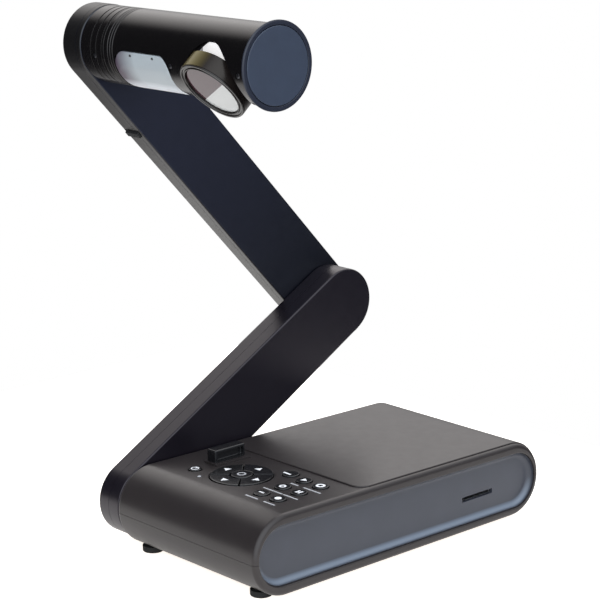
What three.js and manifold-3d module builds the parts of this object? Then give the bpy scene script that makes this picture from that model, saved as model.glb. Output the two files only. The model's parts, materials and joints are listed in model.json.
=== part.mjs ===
// Folding document camera. Millimetres, X across the base, Y from its front end to its rear end, Z up.
import * as THREE from 'three';
import { mergeVertices } from 'three/addons/utils/BufferGeometryUtils.js';
import Module from 'manifold-3d';

const wasm = await Module();
wasm.setup();

// Driving dimensions.
const GAP = 0.3;               // clearance between touching pieces
const WALL = 2;                // wall of the arm shells
const BASE_WALL = 3;           // wall of the base housing
const BASE_X = [-4.5, 131];    // far and near sides of the base
const FRONT_RADIUS = 26;       // the base is 52 high at its round front end
const REAR_RADIUS = 24.7;      // and 49.4 high at its rear end
const BASE_LENGTH = 249.4;
const EDGE = 3;                // rounded edge of the housing
const SPLIT_Z = 25;            // parting line between the two halves of the housing
const STEP_Y = 89.5;           // front edge of the raised rear cover
const RECESS_DEPTH = 5;        // depth of the side panel below the housing rim
const FOOT_HEIGHT = 3;
const KEY_RISE = 0.8;          // how far a key stands above the surface round it
const KEY_FOOT_Z = 46.7;       // lower end of every key
const KEY_EDGE = 0.6;          // its rounded upper edge
const SWITCH_Z = 45.3;         // top of the keypad board
const ROUND = 36;              // sides of a large round piece
const SMALL_ROUND = 16;        // sides of a small one

const LOWER_ANGLE = 29.8;      // degrees from +Y up to the lower arm
const LOWER_LENGTH = 202.3;    // hinge to elbow
const LOWER_X = [-26.1, -5.2];
const LOWER_RADII = [24.4, 23.6];
const UPPER_ANGLE = 131.8;     // degrees from +Y up to the upper arm
const UPPER_LENGTH = 260.7;    // elbow to head
const UPPER_X = [-41.3, -26.6];
const UPPER_RADII = [24.3, 24.4];
const UPPER_THICKENING = 3.9;  // extra depth of the upper arm at its head end

const HEAD_RADIUS = 24;
const HEAD_BORE = 21;
const HEAD_X = [-2.9, 128.6];
const CAP_RADIUS = 26.3;       // the end cap stands proud of the tube
const CAP_X = 131;
const LENS_ANGLE = -139;       // degrees, the way the lens looks, in the plane across the head
const LENS_X = 93.5;
const LENS_RADIUS = 22.4;
const LENS_FRONT = 25.1;       // from the head axis to the front of the lens unit
const LENS_BACK = 13.2;

const FRONT = { y: FRONT_RADIUS, z: FRONT_RADIUS, r: FRONT_RADIUS };
const REAR = { y: BASE_LENGTH - REAR_RADIUS, z: REAR_RADIUS, r: REAR_RADIUS };
const HINGE = { y: FRONT_RADIUS, z: FRONT_RADIUS };
const rad = THREE.MathUtils.degToRad;
const ELBOW = {
  y: HINGE.y + LOWER_LENGTH * Math.cos(rad(LOWER_ANGLE)),
  z: HINGE.z + LOWER_LENGTH * Math.sin(rad(LOWER_ANGLE)),
};

// Materials.
function material(color, roughness, metalness = 0) {
  return new THREE.MeshStandardMaterial({ color, roughness, metalness });
}
const housingGrey = material(0x5f5e63, 0.5);
const panelBlue = material(0x565b66, 0.35);
const armBlack = material(0x24242b, 0.45);
const headBlack = material(0x121214, 0.3);
const capSlate = material(0x424a5c, 0.4);
const keyBlack = material(0x1b1b1f, 0.3);
const rubber = material(0x101010, 0.9);
const steel = material(0x9a9a9c, 0.35, 1);
const board = material(0x1f5a34, 0.6);
const socketBlack = material(0x17171a, 0.5);
const whitePlastic = material(0xe8e8e4, 0.5);
const clearWindow = material(0xc9d2dc, 0.25);
const glass = material(0x8f8a90, 0.05);
const lensBrown = material(0x3b3329, 0.35);

// Solids, joined and cut.
function facesOut(geometry) {
  const p = geometry.attributes.position;
  const index = geometry.index.array;
  const [a, b, c] = [new THREE.Vector3(), new THREE.Vector3(), new THREE.Vector3()];
  let volume = 0;
  for (let i = 0; i < index.length; i += 3) {
    a.fromBufferAttribute(p, index[i]);
    b.fromBufferAttribute(p, index[i + 1]);
    c.fromBufferAttribute(p, index[i + 2]);
    volume += a.dot(b.cross(c));
  }
  if (volume < 0) {
    for (let i = 0; i < index.length; i += 3) {
      [index[i], index[i + 1]] = [index[i + 1], index[i]];
    }
  }
  return geometry;
}

function solid(geometry) {
  const bare = geometry.clone();
  bare.deleteAttribute('normal');
  bare.deleteAttribute('uv');
  const merged = facesOut(mergeVertices(bare, 1e-4));
  const vertProperties = new Float32Array(merged.attributes.position.array);
  const triVerts = new Uint32Array(merged.index.array);
  return new wasm.Manifold(new wasm.Mesh({ numProp: 3, vertProperties, triVerts }));
}

function geometryOf(body) {
  const mesh = body.getMesh();
  const geometry = new THREE.BufferGeometry();
  geometry.setAttribute('position', new THREE.BufferAttribute(mesh.vertProperties, 3));
  geometry.setIndex(new THREE.BufferAttribute(mesh.triVerts, 1));
  geometry.computeVertexNormals();
  return geometry;
}

function cut(body, ...tools) {
  return tools.reduce((left, tool) => left.subtract(tool), body);
}

function join(body, ...others) {
  return others.reduce((sum, other) => sum.add(other), body);
}

// Shapes. Profiles are drawn with Y across and Z up, and run along X.
function belt(a, b, inset = 0) {
  const [ra, rb] = [a.r - inset, b.r - inset];
  const lean = Math.atan2(b.z - a.z, b.y - a.y);
  const spread = Math.acos((ra - rb) / Math.hypot(b.y - a.y, b.z - a.z));
  const shape = new THREE.Shape();
  shape.absarc(a.y, a.z, ra, lean + spread, lean - spread + 2 * Math.PI, false);
  shape.absarc(b.y, b.z, rb, lean - spread, lean + spread, false);
  return shape;
}

function alongX(geometry) {
  const turn = new THREE.Matrix4().makeBasis(
    new THREE.Vector3(0, 1, 0), new THREE.Vector3(0, 0, 1), new THREE.Vector3(1, 0, 0));
  return geometry.applyMatrix4(turn);
}

function plank(shape, [x0, x1], bevel = 0, curveSegments = 9) {
  const geometry = new THREE.ExtrudeGeometry(shape, {
    depth: x1 - x0 - 2 * bevel, bevelEnabled: bevel > 0, bevelThickness: bevel, bevelSize: bevel,
    bevelOffset: -bevel, bevelSegments: 2, curveSegments,
  });
  return alongX(geometry).translate(x0 + bevel, 0, 0);
}

function block([x0, x1], [y0, y1], [z0, z1]) {
  return new THREE.BoxGeometry(x1 - x0, y1 - y0, z1 - z0)
    .translate((x0 + x1) / 2, (y0 + y1) / 2, (z0 + z1) / 2);
}

function turned(profile, segments = SMALL_ROUND) {
  return new THREE.LatheGeometry(profile.map(([r, h]) => new THREE.Vector2(r, h)), segments);
}

function turnedOnX(profile, segments) {
  return turned(profile, segments).rotateZ(-Math.PI / 2);
}

function turnedOnZ(profile, segments) {
  return turned(profile, segments).rotateX(Math.PI / 2);
}

function disc(radius, [low, high]) {
  return [[0, low], [radius, low], [radius, high], [0, high]];
}

function ring(inner, outer, [low, high]) {
  return [[inner, low], [outer, low], [outer, high], [inner, high], [inner, low]];
}

function rodX(radius, span, y, z, segments) {
  return turnedOnX(disc(radius, span), segments).translate(0, y, z);
}

// The scene: one group per moving body.
const group = new THREE.Group();
const base = new THREE.Group();
const lowerArm = new THREE.Group();
const upperArm = new THREE.Group();
const head = new THREE.Group();
const lensUnit = new THREE.Group();
lowerArm.position.set(0, HINGE.y, HINGE.z);
lowerArm.rotation.x = rad(LOWER_ANGLE);
upperArm.position.set(0, ELBOW.y, ELBOW.z);
upperArm.rotation.x = rad(UPPER_ANGLE);
head.position.set(0, UPPER_LENGTH, 0);
head.rotation.x = rad(-UPPER_ANGLE);
upperArm.add(head);
head.add(lensUnit);
lensUnit.position.set(LENS_X, 0, 0);
lensUnit.rotation.x = rad(LENS_ANGLE - 90);
base.add(lowerArm, upperArm);
group.add(base);

function piece(parent, name, shape, look) {
  const geometry = shape.isBufferGeometry ? shape : geometryOf(shape);
  const mesh = new THREE.Mesh(geometry, look);
  mesh.name = name;
  parent.add(mesh);
}

// Height of the top surface at a place along the base.
function topZ(y) {
  const slope = (2 * REAR_RADIUS - 2 * FRONT_RADIUS) / (REAR.y - FRONT.y);
  return 2 * FRONT_RADIUS + slope * (y - FRONT.y);
}

// Keys on the control zone: place, radius.
const POWER = { name: 'power_button', x: 26.6, y: 40, r: 4.2 };
const MENU = { name: 'menu_button', x: 76.5, y: 77.5, r: 5.5 };
const PAD = { x: 56.5, y: 53.7, ring: [7.6, 20.3], centre: 7, hole: 20.7 };
const KEY_COLUMNS = [40, 57.2, 75];
const KEY_ROWS = [92, 107.4];
const FUNCTION_KEYS = KEY_ROWS.flatMap((x, row) => KEY_COLUMNS.map((y, column) => (
  { name: `function_key_${row * KEY_COLUMNS.length + column + 1}`, x, y, r: 5.2 })));
const ROUND_KEYS = [POWER, MENU, ...FUNCTION_KEYS];
const LIGHT = { x: 39, y: 33.4, r: 1.3 };

function roundKey({ x, y, r }) {
  const top = topZ(y) + KEY_RISE;
  const profile = [
    [0, KEY_FOOT_Z], [r + 1, KEY_FOOT_Z], [r + 1, KEY_FOOT_Z + 1.2], [r, KEY_FOOT_Z + 1.2],
    [r, top - KEY_EDGE], [r - KEY_EDGE, top], [0, top],
  ];
  return turnedOnZ(profile).translate(x, y, 0);
}

function padKey(direction) {
  const [inner, outer] = PAD.ring;
  const gapAngle = 0.03;
  const half = rad(45) - gapAngle;
  const shape = new THREE.Shape();
  shape.absarc(0, 0, outer, direction - half, direction + half, false);
  shape.absarc(0, 0, inner, direction + half, direction - half, true);
  const depth = topZ(PAD.y) + KEY_RISE - KEY_FOOT_Z - KEY_EDGE;
  const geometry = new THREE.ExtrudeGeometry(shape, {
    depth, bevelEnabled: true, bevelThickness: KEY_EDGE, bevelSize: 0.5, bevelOffset: -0.5,
    bevelSegments: 2, curveSegments: 5,
  });
  const body = solid(geometry.translate(PAD.x, PAD.y, KEY_FOOT_Z));
  return cut(body, solid(block([0, 129], [0, 129], [40, KEY_FOOT_Z])));
}

function addKeys() {
  ROUND_KEYS.forEach((key) => piece(base, key.name, roundKey(key), keyBlack));
  const directions = { left: Math.PI, up: Math.PI / 2, right: 0, down: -Math.PI / 2 };
  Object.entries(directions).forEach(([side, angle]) => {
    piece(base, `pad_${side}_button`, padKey(angle), keyBlack);
  });
  const top = topZ(PAD.y) + KEY_RISE + 0.3;
  const centre = [
    [0, KEY_FOOT_Z], [PAD.centre, KEY_FOOT_Z], [PAD.centre, top - KEY_EDGE],
    [PAD.centre - KEY_EDGE, top], [0, top],
  ];
  piece(base, 'enter_button', turnedOnZ(centre).translate(PAD.x, PAD.y, 0), keyBlack);
  const light = disc(LIGHT.r, [SWITCH_Z + GAP, topZ(LIGHT.y) + 0.1]);
  piece(base, 'status_light', turnedOnZ(light).translate(LIGHT.x, LIGHT.y, 0), whitePlastic);
}

// Openings through the top wall for the keys.
function keyHoles() {
  const hole = (x, y, r) => solid(turnedOnZ(disc(r + GAP, [45, 56])).translate(x, y, 0));
  return [...ROUND_KEYS, LIGHT].map(({ x, y, r }) => hole(x, y, r))
    .concat(hole(PAD.x, PAD.y, PAD.hole - GAP));
}

// Housing of the base: two halves, raised rear cover, recessed side panel, socket bay at the rear.
const AXLE_RADIUS = 8;
const RECESS_FRONT = { y: 23.8, z: 26, r: 19.4 };
const RECESS_REAR = { y: 227, z: 23.8, r: 18.9 };
const RECESS_X = BASE_X[1] - RECESS_DEPTH;
const PANEL_X = [RECESS_X - 2.4, RECESS_X];
const COVER_X = [-1, 128];
const COVER_LOW = 28;
const COVER_RISE = 0.8;
const BAY_X = [22, 107];
const BAY_Z = [8, 23.5];
const BAY_PLATE_Y = [237, 239];

function belted(inset, span, bevel) {
  return solid(plank(belt(FRONT, REAR, inset), span, bevel));
}

function coverBand(rise, depth, grow) {
  const region = solid(block(
    [COVER_X[0] - grow, COVER_X[1] + grow], [STEP_Y - grow, BASE_LENGTH + 5], [COVER_LOW - grow, 60]));
  return cut(belted(-rise, [-8, 134]), belted(depth, [-9, 135])).intersect(region);
}

function addHousing() {
  const outer = belted(0, BASE_X, EDGE);
  const hollow = belted(BASE_WALL, [BASE_X[0] + BASE_WALL, PANEL_X[0] - GAP]);
  const opening = solid(plank(belt(RECESS_FRONT, RECESS_REAR), [PANEL_X[0] - 1, BASE_X[1] + 1]));
  const axleHole = solid(rodX(AXLE_RADIUS + GAP, [-10, 0], HINGE.y, HINGE.z));
  const bay = solid(block(BAY_X, [BAY_PLATE_Y[0] - 0.5, BASE_LENGTH + 5], BAY_Z));
  const shell = cut(outer, hollow, opening, axleHole, bay);
  const upper = solid(block([-10, 140], [-10, 260], [SPLIT_Z + GAP / 2, 70]));
  const lower = solid(block([-10, 140], [-10, 260], [-10, SPLIT_Z - GAP / 2]));
  const top = cut(shell.intersect(upper), coverBand(2, 1.6, GAP), ...keyHoles());
  piece(base, 'base_top', top, housingGrey);
  piece(base, 'base_bottom', shell.intersect(lower), housingGrey);
  piece(base, 'rear_cover', coverBand(COVER_RISE, 1.3, 0), housingGrey);
}

// Card slot in the side panel, with its socket behind it.
const CARD = { y: [182, 209], z: [19.1, 21.9], depth: 22 };

function addSidePanel() {
  const plate = solid(plank(belt(RECESS_FRONT, RECESS_REAR, GAP), PANEL_X));
  const slot = solid(block([PANEL_X[0] - 1, PANEL_X[1] + 1], CARD.y, CARD.z));
  piece(base, 'side_panel', cut(plate, slot), panelBlue);
  const back = PANEL_X[0] - GAP;
  const body = solid(block([back - CARD.depth - 2, back], [180, 211], [17.1, 23.9]));
  const throat = solid(block([back - CARD.depth, back + 1], CARD.y, CARD.z));
  piece(base, 'card_socket', cut(body, throat), steel);
}

// Sockets at the rear end, in a plate at the bottom of the bay.
const SOCKET_Z = (BAY_Z[0] + BAY_Z[1]) / 2;
const SOCKETS = [
  { name: 'video_socket', x: 45, size: [15, 5.5], tongue: [11, 1.6] },
  { name: 'usb_socket', x: 68, size: [13, 5.8], tongue: [10, 2] },
];
const POWER_SOCKET = { x: 90, r: 4.5, hole: 3.1, pin: 1 };
const SOCKET_Y = [226, BAY_PLATE_Y[1] + 0.6];
const HOLE_Y = [230, 245];     // the cutters of the plate's holes
const SOCKET_DEPTH = 9;        // how deep a plug goes in
const SOCKET_WALL = 0.8;

function addSockets() {
  const inBay = ([low, high]) => [low + GAP, high - GAP];
  const plate = solid(block(inBay(BAY_X), BAY_PLATE_Y, inBay(BAY_Z)));
  const holes = SOCKETS.map(({ x, size: [w, h] }) => solid(block(
    [x - w / 2 - GAP, x + w / 2 + GAP], HOLE_Y, [SOCKET_Z - h / 2 - GAP, SOCKET_Z + h / 2 + GAP])));
  const round = solid(turned(disc(POWER_SOCKET.r + GAP, HOLE_Y)).translate(POWER_SOCKET.x, 0, SOCKET_Z));
  piece(base, 'socket_plate', cut(plate, ...holes, round), socketBlack);
  SOCKETS.forEach(({ name, x, size: [w, h], tongue: [tw, th] }) => {
    const shell = solid(block([x - w / 2, x + w / 2], SOCKET_Y, [SOCKET_Z - h / 2, SOCKET_Z + h / 2]));
    const mouth = solid(block(
      [x - w / 2 + SOCKET_WALL, x + w / 2 - SOCKET_WALL], [SOCKET_Y[1] - SOCKET_DEPTH, SOCKET_Y[1] + 1],
      [SOCKET_Z - h / 2 + SOCKET_WALL, SOCKET_Z + h / 2 - SOCKET_WALL]));
    const tongue = solid(block([x - tw / 2, x + tw / 2], [SOCKET_Y[0] + 1, SOCKET_Y[1] - 1],
      [SOCKET_Z - th / 2, SOCKET_Z + th / 2]));
    piece(base, name, join(cut(shell, mouth), tongue), steel);
  });
  const { x, r, hole, pin } = POWER_SOCKET;
  const [back, front] = SOCKET_Y;
  const jack = [
    [0, back], [r, back], [r, front], [hole, front], [hole, front - SOCKET_DEPTH],
    [pin, front - SOCKET_DEPTH],
    [pin, front - 1], [0, front - 1],
  ];
  piece(base, 'power_socket', turned(jack).translate(x, 0, SOCKET_Z), socketBlack);
}

// Rest block beside the arm, boards, feet.
const REST = {
  x: [20.5, 29], y: [55, 80], low: 48, top: 61,
  flangeX: [19, 32], flangeY: [53.5, 81.5], flangeTop: 53,
};
const FEET = { x: [6, 113], y: [20, 232], r: 7 };

function addBaseDetails() {
  const under = belted(-GAP, [-8, 134]);
  const flange = solid(block(REST.flangeX, REST.flangeY, [REST.low, REST.flangeTop]));
  const body = solid(block(REST.x, REST.y, [REST.low, REST.top]));
  piece(base, 'rest_block', cut(join(body, flange), under), headBlack);
  FEET.y.forEach((y, row) => FEET.x.forEach((x, column) => {
    const foot = solid(turnedOnZ([
      [0, -FOOT_HEIGHT], [FEET.r - 1, -FOOT_HEIGHT], [FEET.r, 1 - FOOT_HEIGHT], [FEET.r, 2], [0, 2],
    ]).translate(x, y, 0));
    piece(base, `foot_${row * 2 + column + 1}`, cut(foot, under), rubber);
  }));
  piece(base, 'keypad_board', block([18, 118], [28, 85], [SWITCH_Z - 1.6, SWITCH_Z]), board);
  piece(base, 'main_board', block([16, 116], [40, 222], [8, 9.6]), board);
}

// Base hinge: an axle clamped in the housing wall, with a spring washer and a nut.
function hexNut(inner, across, [x0, x1]) {
  const shape = new THREE.Shape();
  for (let i = 0; i < 6; i += 1) {
    const angle = i * Math.PI / 3;
    shape[i ? 'lineTo' : 'moveTo'](across / 2 * Math.cos(angle), across / 2 * Math.sin(angle));
  }
  const hole = new THREE.Path();
  hole.absarc(0, 0, inner, 0, 2 * Math.PI, true);
  shape.holes.push(hole);
  return plank(shape, [x0, x1]);
}

function addHinge() {
  const inside = BASE_X[0] + BASE_WALL;
  const wallInArm = LOWER_X[1] - WALL;
  const axle = turnedOnX([
    [0, wallInArm - 4], [13, wallInArm - 4], [13, wallInArm - GAP], [AXLE_RADIUS, wallInArm - GAP],
    [AXLE_RADIUS, 10], [0, 10],
  ]);
  piece(base, 'hinge_axle', axle.translate(0, HINGE.y, HINGE.z), steel);
  const washer = turnedOnX(ring(AXLE_RADIUS + GAP, 15, [inside + GAP, inside + 1.8]));
  piece(base, 'hinge_washer', washer.translate(0, HINGE.y, HINGE.z), steel);
  const nut = hexNut(AXLE_RADIUS + GAP, 26, [inside + 2.1, inside + 8]);
  piece(base, 'hinge_nut', nut.translate(0, HINGE.y, HINGE.z), steel);
}

// Lower arm, drawn along its own Y from the hinge to the elbow.
const BUMPER = { length: 5, depth: 1, rise: 2 };
const ELBOW_AXLE = 7;
const LOWER_SPLIT = -15.6;

function pocketAndBumper(parent, name, xs, y, side, reach) {
  const z = (low, high) => [side * low, side * high].sort((a, b) => a - b);
  const ys = [y - BUMPER.length / 2, y + BUMPER.length / 2];
  piece(parent, name, block(xs, ys, z(reach - BUMPER.depth, reach + BUMPER.rise)), rubber);
  return solid(block([xs[0] - GAP, xs[1] + GAP], [ys[0] - GAP, ys[1] + GAP],
    z(reach - BUMPER.depth - GAP, reach + 5)));
}

function addLowerArm() {
  const start = { y: 0, z: 0, r: LOWER_RADII[0] };
  const end = { y: LOWER_LENGTH, z: 0, r: LOWER_RADII[1] };
  const [far, near] = LOWER_X;
  const outer = solid(plank(belt(start, end), LOWER_X, 1.2));
  const hollow = solid(plank(belt(start, end, WALL), [far + WALL, near - WALL]));
  const hingeHole = solid(rodX(AXLE_RADIUS + GAP, [near - 4, 0], 0, 0));
  const elbowHole = solid(rodX(ELBOW_AXLE + GAP, [far - 2, far + 4], LOWER_LENGTH, 0));
  const pocket = pocketAndBumper(lowerArm, 'lower_arm_bumper', [-14, -8], LOWER_LENGTH, -1, LOWER_RADII[1]);
  const shell = cut(outer, hollow, hingeHole, elbowHole, pocket);
  const half = ([x0, x1]) => shell.intersect(solid(block([x0, x1], [-40, 260], [-40, 40])));
  piece(lowerArm, 'lower_arm_cover', half([LOWER_SPLIT + GAP / 2, 0]), armBlack);
  piece(lowerArm, 'lower_arm_shell', half([far - 5, LOWER_SPLIT - GAP / 2]), armBlack);
  const nearWall = UPPER_X[1] - WALL;
  const axle = turnedOnX([
    [0, nearWall - 6], [ELBOW_AXLE, nearWall - 6], [ELBOW_AXLE, far + WALL + GAP],
    [12, far + WALL + GAP], [12, far + WALL + 4], [0, far + WALL + 4],
  ]);
  piece(lowerArm, 'elbow_axle', axle.translate(0, LOWER_LENGTH, 0), steel);
  const nut = hexNut(ELBOW_AXLE + GAP, 24, [nearWall - 5, nearWall - GAP]);
  piece(lowerArm, 'elbow_nut', nut.translate(0, LOWER_LENGTH, 0), steel);
}

// Upper arm, drawn along its own Y from the elbow to the head, deeper at the head end.
const HEAD_AXLE = 9;
const UPPER_SPLIT = -31.6;
const UPPER_BUMPER_Y = 201.7;
const COLLAR_X = [UPPER_X[1] + GAP, HEAD_X[0] - GAP];
const SCREW_ANGLE = -170.5;
const COLLAR_SCREW_X = -13;
const HEAD_SCREW_X = [61.2, 123.2];
const SCREW_RADIUS = 1.7;

function deepened(geometry) {
  const p = geometry.attributes.position;
  for (let i = 0; i < p.count; i += 1) {
    const along = THREE.MathUtils.clamp(p.getY(i) / UPPER_LENGTH, 0, 1);
    if (p.getX(i) < UPPER_SPLIT) {
      p.setX(i, p.getX(i) - UPPER_THICKENING * along);
    }
  }
  return geometry;
}

function addUpperArm() {
  const start = { y: 0, z: 0, r: UPPER_RADII[0] };
  const end = { y: UPPER_LENGTH, z: 0, r: UPPER_RADII[1] };
  const [far, near] = UPPER_X;
  const outer = solid(deepened(plank(belt(start, end), UPPER_X, 1.2)));
  const hollow = solid(deepened(plank(belt(start, end, WALL), [far + WALL, near - WALL])));
  const elbowHole = solid(rodX(ELBOW_AXLE + GAP, [near - 4, near + 2], 0, 0));
  const headHole = solid(rodX(HEAD_AXLE + GAP, [near - 4, near + 2], UPPER_LENGTH, 0));
  const bumperX = [far - 1.6, near - 2.5];
  const pocket = pocketAndBumper(upperArm, 'upper_arm_bumper', bumperX, UPPER_BUMPER_Y, 1, UPPER_RADII[1]);
  const shell = cut(outer, hollow, elbowHole, headHole, pocket);
  const half = ([x0, x1]) => shell.intersect(solid(block([x0, x1], [-40, 300], [-40, 40])));
  piece(upperArm, 'upper_arm_cover', half([UPPER_SPLIT + GAP / 2, 0]), armBlack);
  piece(upperArm, 'upper_arm_shell', half([far - 10, UPPER_SPLIT - GAP / 2]), armBlack);
}

function screw(x) {
  return turned([[0, 21.6], [SCREW_RADIUS, 21.6], [SCREW_RADIUS, 24], [0, 24]], 10)
    .rotateX(rad(SCREW_ANGLE)).translate(x, 0, 0);
}

function screwHole(x) {
  return solid(turned(disc(SCREW_RADIUS + GAP, [18, 26]), 10).rotateX(rad(SCREW_ANGLE)).translate(x, 0, 0));
}

// Collar fixed to the arm, the axle that carries the head, and its washer and nut inside the arm.
function addCollar() {
  const [low, high] = COLLAR_X;
  const floor = HEAD_RADIUS - 0.8;
  const grooves = [-16, -10.5, -5].flatMap((x) => [
    [HEAD_RADIUS, x - 0.5], [floor, x - 0.5], [floor, x + 0.5], [HEAD_RADIUS, x + 0.5],
  ]);
  const profile = [
    [HEAD_BORE, low], [HEAD_RADIUS, low], ...grooves, [HEAD_RADIUS, high], [HEAD_AXLE + GAP, high],
    [HEAD_AXLE + GAP, high - 3], [HEAD_BORE, high - 3], [HEAD_BORE, low],
  ];
  const collarGroup = new THREE.Group();
  collarGroup.position.set(0, UPPER_LENGTH, 0);
  collarGroup.rotation.x = rad(-UPPER_ANGLE);
  upperArm.add(collarGroup);
  const collar = cut(solid(turnedOnX(profile, ROUND)), screwHole(COLLAR_SCREW_X));
  piece(collarGroup, 'head_collar', collar, headBlack);
  piece(collarGroup, 'collar_screw', screw(COLLAR_SCREW_X), steel);
  const wall = UPPER_X[1] - WALL;
  const axle = turnedOnX([
    [0, wall - 6], [HEAD_AXLE, wall - 6], [HEAD_AXLE, HEAD_X[0] + 2.5 + GAP], [14, HEAD_X[0] + 2.5 + GAP],
    [14, 4], [0, 4],
  ]);
  piece(collarGroup, 'head_axle', axle, steel);
  piece(collarGroup, 'head_nut', hexNut(HEAD_AXLE + GAP, 28, [wall - 5, wall - GAP]), steel);
}

// Head: tube with the light window, the lens opening and the end cap.
const WINDOW = { x: [6.5, 59.5], half: 17, corner: 9 };
const END_WALL = 2.5;
const CAP_DISC_RADIUS = 23;
const OPENING = { centre: 96.25, length: 51.4, width: 45.9 };

function roundedRectangle(width, height, corner) {
  const [w, h] = [width / 2 - corner, height / 2 - corner];
  const shape = new THREE.Shape();
  shape.absarc(w, h, corner, 0, Math.PI / 2, false);
  shape.absarc(-w, h, corner, Math.PI / 2, Math.PI, false);
  shape.absarc(-w, -h, corner, Math.PI, 1.5 * Math.PI, false);
  shape.absarc(w, -h, corner, 1.5 * Math.PI, 2 * Math.PI, false);
  return shape;
}

// Turns a piece that is drawn looking up +Z so that it looks the way the lens looks.
function facing(geometry, x) {
  return geometry.rotateX(rad(LENS_ANGLE - 90)).translate(x, 0, 0);
}

function windowPrism(shrink) {
  const [x0, x1] = WINDOW.x;
  const shape = roundedRectangle(x1 - x0 - 2 * shrink, 2 * (WINDOW.half - shrink), WINDOW.corner - shrink);
  const prism = new THREE.ExtrudeGeometry(shape, { depth: 25, bevelEnabled: false, curveSegments: 4 });
  return solid(facing(prism.translate(0, 0, 8), (x0 + x1) / 2));
}

// The lens opening is longer along the head than across it.
function openingPrism(shrink, [low, high]) {
  const width = OPENING.width - 2 * shrink;
  const shape = roundedRectangle(OPENING.length - 2 * shrink, width, width / 2 - 0.02);
  const depth = high - low;
  const prism = new THREE.ExtrudeGeometry(shape, { depth, bevelEnabled: false, curveSegments: 9 });
  return solid(facing(prism.translate(0, 0, low), OPENING.centre));
}

function addHead() {
  const [low, high] = HEAD_X;
  const floor = HEAD_RADIUS - 0.5;
  const ribs = [1, 4, 7].flatMap((x) => [
    [HEAD_RADIUS, x], [floor, x + 0.4], [floor, x + 1.2], [HEAD_RADIUS, x + 1.6],
  ]);
  const profile = [
    [HEAD_AXLE + GAP, low], [HEAD_RADIUS, low], ...ribs, [HEAD_RADIUS, high], [HEAD_BORE, high],
    [HEAD_BORE, low + END_WALL], [HEAD_AXLE + GAP, low + END_WALL], [HEAD_AXLE + GAP, low],
  ];
  const blank = solid(turnedOnX(profile, ROUND));
  const tube = cut(blank, windowPrism(0), openingPrism(0, [0, 30]), ...HEAD_SCREW_X.map(screwHole));
  piece(head, 'head_tube', tube, headBlack);
  HEAD_SCREW_X.forEach((x, i) => piece(head, `head_screw_${i + 1}`, screw(x), steel));
  const skin = solid(turnedOnX(ring(22.2, HEAD_RADIUS, [0, 70]), ROUND));
  piece(head, 'light_window', skin.intersect(windowPrism(GAP)), clearWindow);
  const lights = new THREE.BoxGeometry(50, 30, 1.6).translate(0, 0, 8.8);
  piece(head, 'light_board', facing(lights, (WINDOW.x[0] + WINDOW.x[1]) / 2), whitePlastic);
  const inner = CAP_DISC_RADIUS + GAP;
  const capRing = [
    [inner, high + GAP], [HEAD_RADIUS + 0.6, high + GAP], [CAP_RADIUS, CAP_X - 1.2],
    [CAP_RADIUS, CAP_X - 0.7], [CAP_RADIUS - 0.7, CAP_X], [inner, CAP_X], [inner, high + GAP],
  ];
  piece(head, 'end_cap_ring', turnedOnX(capRing, ROUND), capSlate);
  piece(head, 'end_cap_disc', turnedOnX(disc(CAP_DISC_RADIUS, [high + GAP, CAP_X + 0.2]), ROUND), capSlate);
}

// White seat behind the lens unit: a lid with a deep rim, standing on the step inside the lens opening.
const SEAT = { rim: 2.2, low: 0.4, lid: 3.8, high: 6 };
const STEM = { radius: 6, low: 0.6, clip: [2.2, 3.5] };

function addLensSeat() {
  const { rim, low, lid, high } = SEAT;
  const stemHole = solid(facing(turnedOnZ(disc(STEM.radius + GAP, [low, high + 1]), ROUND), LENS_X));
  const lidded = cut(openingPrism(GAP, [low, high]), openingPrism(GAP + rim, [low - 1, lid]), stemHole);
  piece(head, 'lens_seat', lidded, whitePlastic);
}

// Lens unit, drawn looking up +Z from the head axis.
function addLensUnit() {
  const [back, front] = [LENS_BACK, LENS_FRONT];
  const barrel = [
    [0, STEM.low], [STEM.radius, STEM.low], [STEM.radius, back], [LENS_RADIUS - 0.5, back],
    [LENS_RADIUS, back + 0.5], [LENS_RADIUS, front - 1.1], [20.6, front - 1.1], [20.6, back + 2],
    [0, back + 2],
  ];
  piece(lensUnit, 'lens_barrel', turnedOnZ(barrel, ROUND), lensBrown);
  const bezel = [
    [18.7, 18], [20.3, 18], [20.3, front - 0.8], [LENS_RADIUS, front - 0.8], [LENS_RADIUS - 0.4, front],
    [19.1, front], [18.7, front - 0.4], [18.7, 18],
  ];
  piece(lensUnit, 'lens_bezel', turnedOnZ(bezel, ROUND), lensBrown);
  piece(lensUnit, 'lens_glass', turnedOnZ(disc(18.4, [front - 2.8, front - 1.3]), ROUND), glass);
  piece(lensUnit, 'sensor_board', block([-12, 12], [-12, 12], [back + 2.3, back + 3.9]), board);
  piece(lensUnit, 'lens_cell', turnedOnZ(ring(7.5, 10, [17.4, 21.8])), headBlack);
  piece(lensUnit, 'lens_element', turnedOnZ(disc(7.2, [18.6, 21.2])), glass);
  piece(lensUnit, 'lens_retainer', turnedOnZ(ring(STEM.radius + GAP, 9, STEM.clip)), steel);
}

addHousing();
addSidePanel();
addSockets();
addBaseDetails();
addKeys();
addHinge();
addLowerArm();
addUpperArm();
addCollar();
addHead();
addLensSeat();
addLensUnit();

// The origin is the middle of the footprint, on the plane that the feet stand on.
base.updateMatrixWorld(true);
const extent = new THREE.Box3().setFromObject(base, true);
const middle = extent.getCenter(new THREE.Vector3());
base.position.set(-middle.x, -middle.y, -extent.min.z);

export default group;
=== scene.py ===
"""Looks of the folding document camera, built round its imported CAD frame.

Shapes are drawn in millimetres in a local frame of their body, and placed in the row frame in metres.
The base is drawn with its front end at Y 0, its underside at Z 0 and the CAD's own X.
"""

import json
import math

import bmesh
import bpy
from mathutils import Matrix, Vector


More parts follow.
